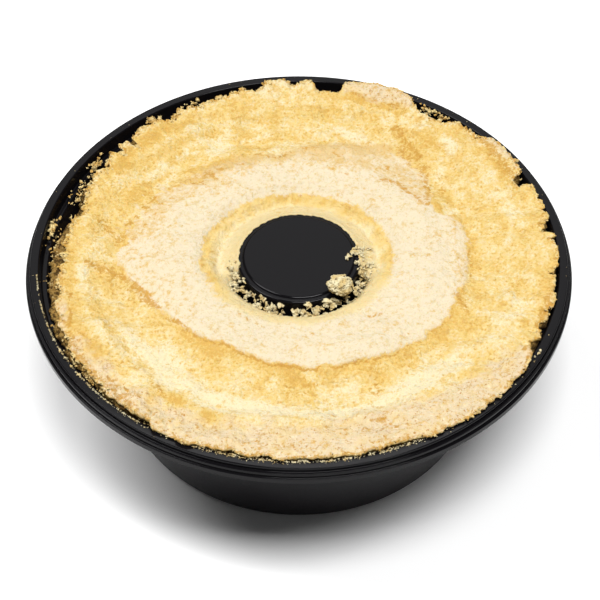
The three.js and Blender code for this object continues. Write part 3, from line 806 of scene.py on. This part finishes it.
def placeGrooveCrumbs(draw):
    g = grooveCrumbs
    places = []
    for k in range(g["chains"]):
        angle = g["from"] + (g["to"] - g["from"]) * (k + draw.uniform(-0.5, 1.5)) / g["chains"]
        radius, height = draw.uniform(*g["radius"]), draw.uniform(*g["height"])
        for _ in range(draw.randint(*g["perChain"])):
            size = draw.uniform(0.5, 1.4) * draw.choice((1, 1, 1.7))
            angle += draw.gauss(0, 1.3)
            radius = min(max(radius + draw.gauss(0, 0.8), 26.3 + size * 0.3), 31.5)
            height = min(max(height + draw.gauss(0, 0.6), 73.5), 79.4 - 0.4 * (radius - 26.5))
            places.append((polar(angle, radius, height), size))
    for _ in range(g["onSlope"]):
        angle, radius = draw.uniform(g["from"], g["to"]), 30.4 + 4.0 * draw.random() ** 2
        size = draw.uniform(0.5, 1.6)
        places.append((polar(angle, radius, surfaceHeight(angle, radius) - size * 0.05), size))
    return places


# crumbs on the post's edge: angle, radius, spread, count, largest
postEdgeCrumbs = {"seed": 9, "piles": [
    (3, 25.2, 1.2, 15, 2.4), (5, 22.8, 1, 10, 2), (358, 21.4, 0.8, 6, 1.8), (352, 26.4, 1.3, 9, 2.2),
    (343, 27.4, 1.3, 5, 2), (334, 28.6, 1.2, 5, 2), (326, 28.6, 1.2, 5, 2), (11, 26.6, 1.2, 9, 1.8),
    (186, 28.4, 1.2, 8, 1.1), (196, 28.2, 1.3, 9, 1.3), (205, 28, 1.3, 9, 1.6),
]}


def placePostEdgeCrumbs(draw):
    places = []
    for angle, radius, spread, count, largest in postEdgeCrumbs["piles"]:
        for _ in range(count):
            size = draw.uniform(0.4, 1.0) * largest
            centre = polar(angle, radius, 0) + Vector((draw.gauss(0, spread), draw.gauss(0, spread), 0))
            reach = math.hypot(centre.x, centre.y)
            if reach < tub["discRadius"]:
                under = tub["postHeight"]
            elif reach < tub["postRadius"] + 0.4:
                under = tub["postHeight"] - tub["discStep"] - max(0.0, reach - 25.4) * 0.7
            else:
                under = max(surfaceHeight(math.degrees(math.atan2(centre.y, centre.x)), reach), 76.8 - reach + 27)
            centre.z = under + size * 0.28
            places.append((centre, size))
    return places


# crumbs on the ledge and along its inner edge: from angle, to angle, from radius, to radius, count, largest
ledgeCrumbs = {"seed": 8, "bands": [
    (187, 236, 109.6, 110.2, 620, 0.5), (205, 218, 109.6, 110.6, 22, 1.2), (232, 256, 109.7, 110.8, 40, 0.6),
    (240, 306, 108.9, 110.3, 1100, 0.6), (242, 314, 110, 111.2, 150, 0.4), (300, 336, 110.9, 112, 10, 0.5),
    (0, 360, 109.9, 112.6, 40, 0.4), (328, 332, 110.4, 111.4, 5, 1.1),
]}


def placeLedgeCrumbs(draw):
    places = []
    for low, high, near, far, count, largest in ledgeCrumbs["bands"]:
        for _ in range(count):
            angle, radius = draw.uniform(low, high), draw.uniform(near, far)
            size = draw.uniform(0.45, 1.0) * largest
            patchy = noise.noise(polar(angle, 110 / 3.5, 0))  # they lie in patches
            if radius > edgeAt(angle) + size / 3 and patchy > draw.uniform(-0.6, 0.2):
                places.append((polar(angle, radius, tub["height"] + size * 0.3), size))
    return places


# broken edge: crumbs all along the rim of the cake, and bits that hang in the gap against the tub's wall
edgeCrumbs = {"seed": 14, "along": 1100, "gapBits": [  # angle, spread, radius, spread, height, count, largest
    (129, 0.5, 107.6, 1.6, 81.4, 24, 2), (149.5, 1.6, 105.8, 0.9, 80.8, 28, 1.9), (170.5, 1.7, 107, 0.4, 79.6, 30, 2),
    (54, 3, 107.6, 1.2, 81.6, 80, 1.2), (158, 5, 103.6, 1.4, 78.6, 70, 1.2), (174, 5, 102.4, 1.1, 78, 70, 1.1),
    (186, 6, 104.2, 0.5, 77.4, 70, 0.8), (118, 2, 107.2, 0.8, 80.6, 12, 1.5), (24, 1.2, 106.8, 0.8, 80.5, 10, 1.4),
    (328, 1.5, 108.4, 0.8, 82, 16, 2), (6, 2.5, 107.4, 0.6, 80.8, 16, 1.3), (224, 6, 107.2, 0.5, 80.6, 90, 0.9),
    (208, 6, 106.2, 0.5, 79.6, 60, 0.9),
]}


def placeEdgeCrumbs(draw):
    places = []
    for _ in range(edgeCrumbs["along"]):
        angle = draw.uniform(0, 360)
        ragged = float(along(toothDepth, np.array(angle)))
        size = draw.uniform(0.6, 1.2) * (0.7 + 0.8 * ragged)
        radius = edgeAt(angle) - size * draw.uniform(0.1, 0.7)
        centre = polar(angle, radius, surfaceHeight(angle, radius) - size * draw.uniform(0.1, 0.5))
        places.append((centre, size))
    for angle, turned, radius, across, height, count, largest in edgeCrumbs["gapBits"]:
        for _ in range(count // 4):  # lacy bits: short chains of crumbs that cling together
            way, reach = angle + draw.gauss(0, turned), radius + draw.gauss(0, across)
            up = height + draw.gauss(0, 0.5)
            for _ in range(5):
                size = draw.uniform(0.3, 1.0) * largest
                way += draw.gauss(0, 0.5)
                reach = min(reach + draw.gauss(0, 0.7), roomRadius(tub["height"]) - size * 0.2)
                up += draw.gauss(0, 0.3)
                places.append((polar(way, reach, up), size))
    return places


scatterCrumbs("grooveCrumbs", grooveCrumbs, placeGrooveCrumbs, creamCrumb)
scatterCrumbs("postEdgeCrumbs", postEdgeCrumbs, placePostEdgeCrumbs, creamCrumb)
scatterCrumbs("ledgeCrumbs", ledgeCrumbs, placeLedgeCrumbs, creamCrumb)
scatterCrumbs("edgeCrumbs", edgeCrumbs, placeEdgeCrumbs, goldenCrumb)

studio = {
    "floor": "#f6f6f6", "ambient": 0.10, "lampHeight": 2.6,
    # lean from the vertical to the right and away, as mm per mm, half size in the same measure, and watts
    "boxes": {
        "frontRightBox": ((0.154, -0.27), (0.263, 0.141), 80), "leftBox": ((-0.524, 0.118), (0.276, 0.154), 60),
        "farCard": ((0, 0.95), (0.42, 0.34), 21), "highCard": ((0, 0.65), (0.18, 0.05), 3.6),
    },
    "onlyMirrored": ("farCard", "highCard"),  # dim white cards, which level black plastic mirrors
    # the camera: focal length and sensor in mm, near limit and place in metres, degrees from straight down
    "lens": 102, "sensor": 36, "clip": 0.05, "place": (0.000472, -0.493872, 0.601944), "tilt": 41.912,
}


def makeFloor():
    material, add = newMaterial("whiteStudioFloor")
    shader = add("BsdfPrincipled", {
        "Base Color": toLinear(studio["floor"]), "Roughness": 0.6, "Specular IOR Level": 0.1})
    add("OutputMaterial", {"Surface": shader})
    bm = bmesh.new()
    bmesh.ops.create_grid(bm, x_segments=1, y_segments=1, size=4.0)
    addMesh(bm, "studioFloor", material)


def makeLights():
    high = studio["lampHeight"]
    for name, ((right, away), (halfAcross, halfDeep), watts) in studio["boxes"].items():
        lamp = bpy.data.lights.new(name, "AREA")
        lamp.shape = "RECTANGLE"
        lamp.size, lamp.size_y = 2 * halfAcross * high, 2 * halfDeep * high
        lamp.energy = watts
        box = bpy.data.objects.new(name, lamp)
        box.location = (right * high, away * high, high)
        box.rotation_euler = (-math.atan(away), math.atan(right), 0)
        box.visible_diffuse = name not in studio["onlyMirrored"]
        scene.collection.objects.link(box)
    world = bpy.data.worlds.new("whiteStudio")
    world.use_nodes = True
    world.node_tree.nodes.clear()
    add = partial(addNode, world.node_tree)
    shade = add("Background", {"Color": (1, 1, 1, 1), "Strength": studio["ambient"]})
    add("OutputWorld", {"Surface": shade})
    scene.world = world


makeFloor()
makeLights()
scene.view_settings.view_transform = "Standard"

lens = bpy.data.cameras.new("camera")
lens.lens = studio["lens"]
lens.sensor_width = studio["sensor"]
lens.clip_start = studio["clip"]
camera = bpy.data.objects.new("camera", lens)
camera.location = studio["place"]
camera.rotation_euler = (math.radians(studio["tilt"]), 0, 0)
scene.collection.objects.link(camera)
scene.camera = camera
print("studio made")
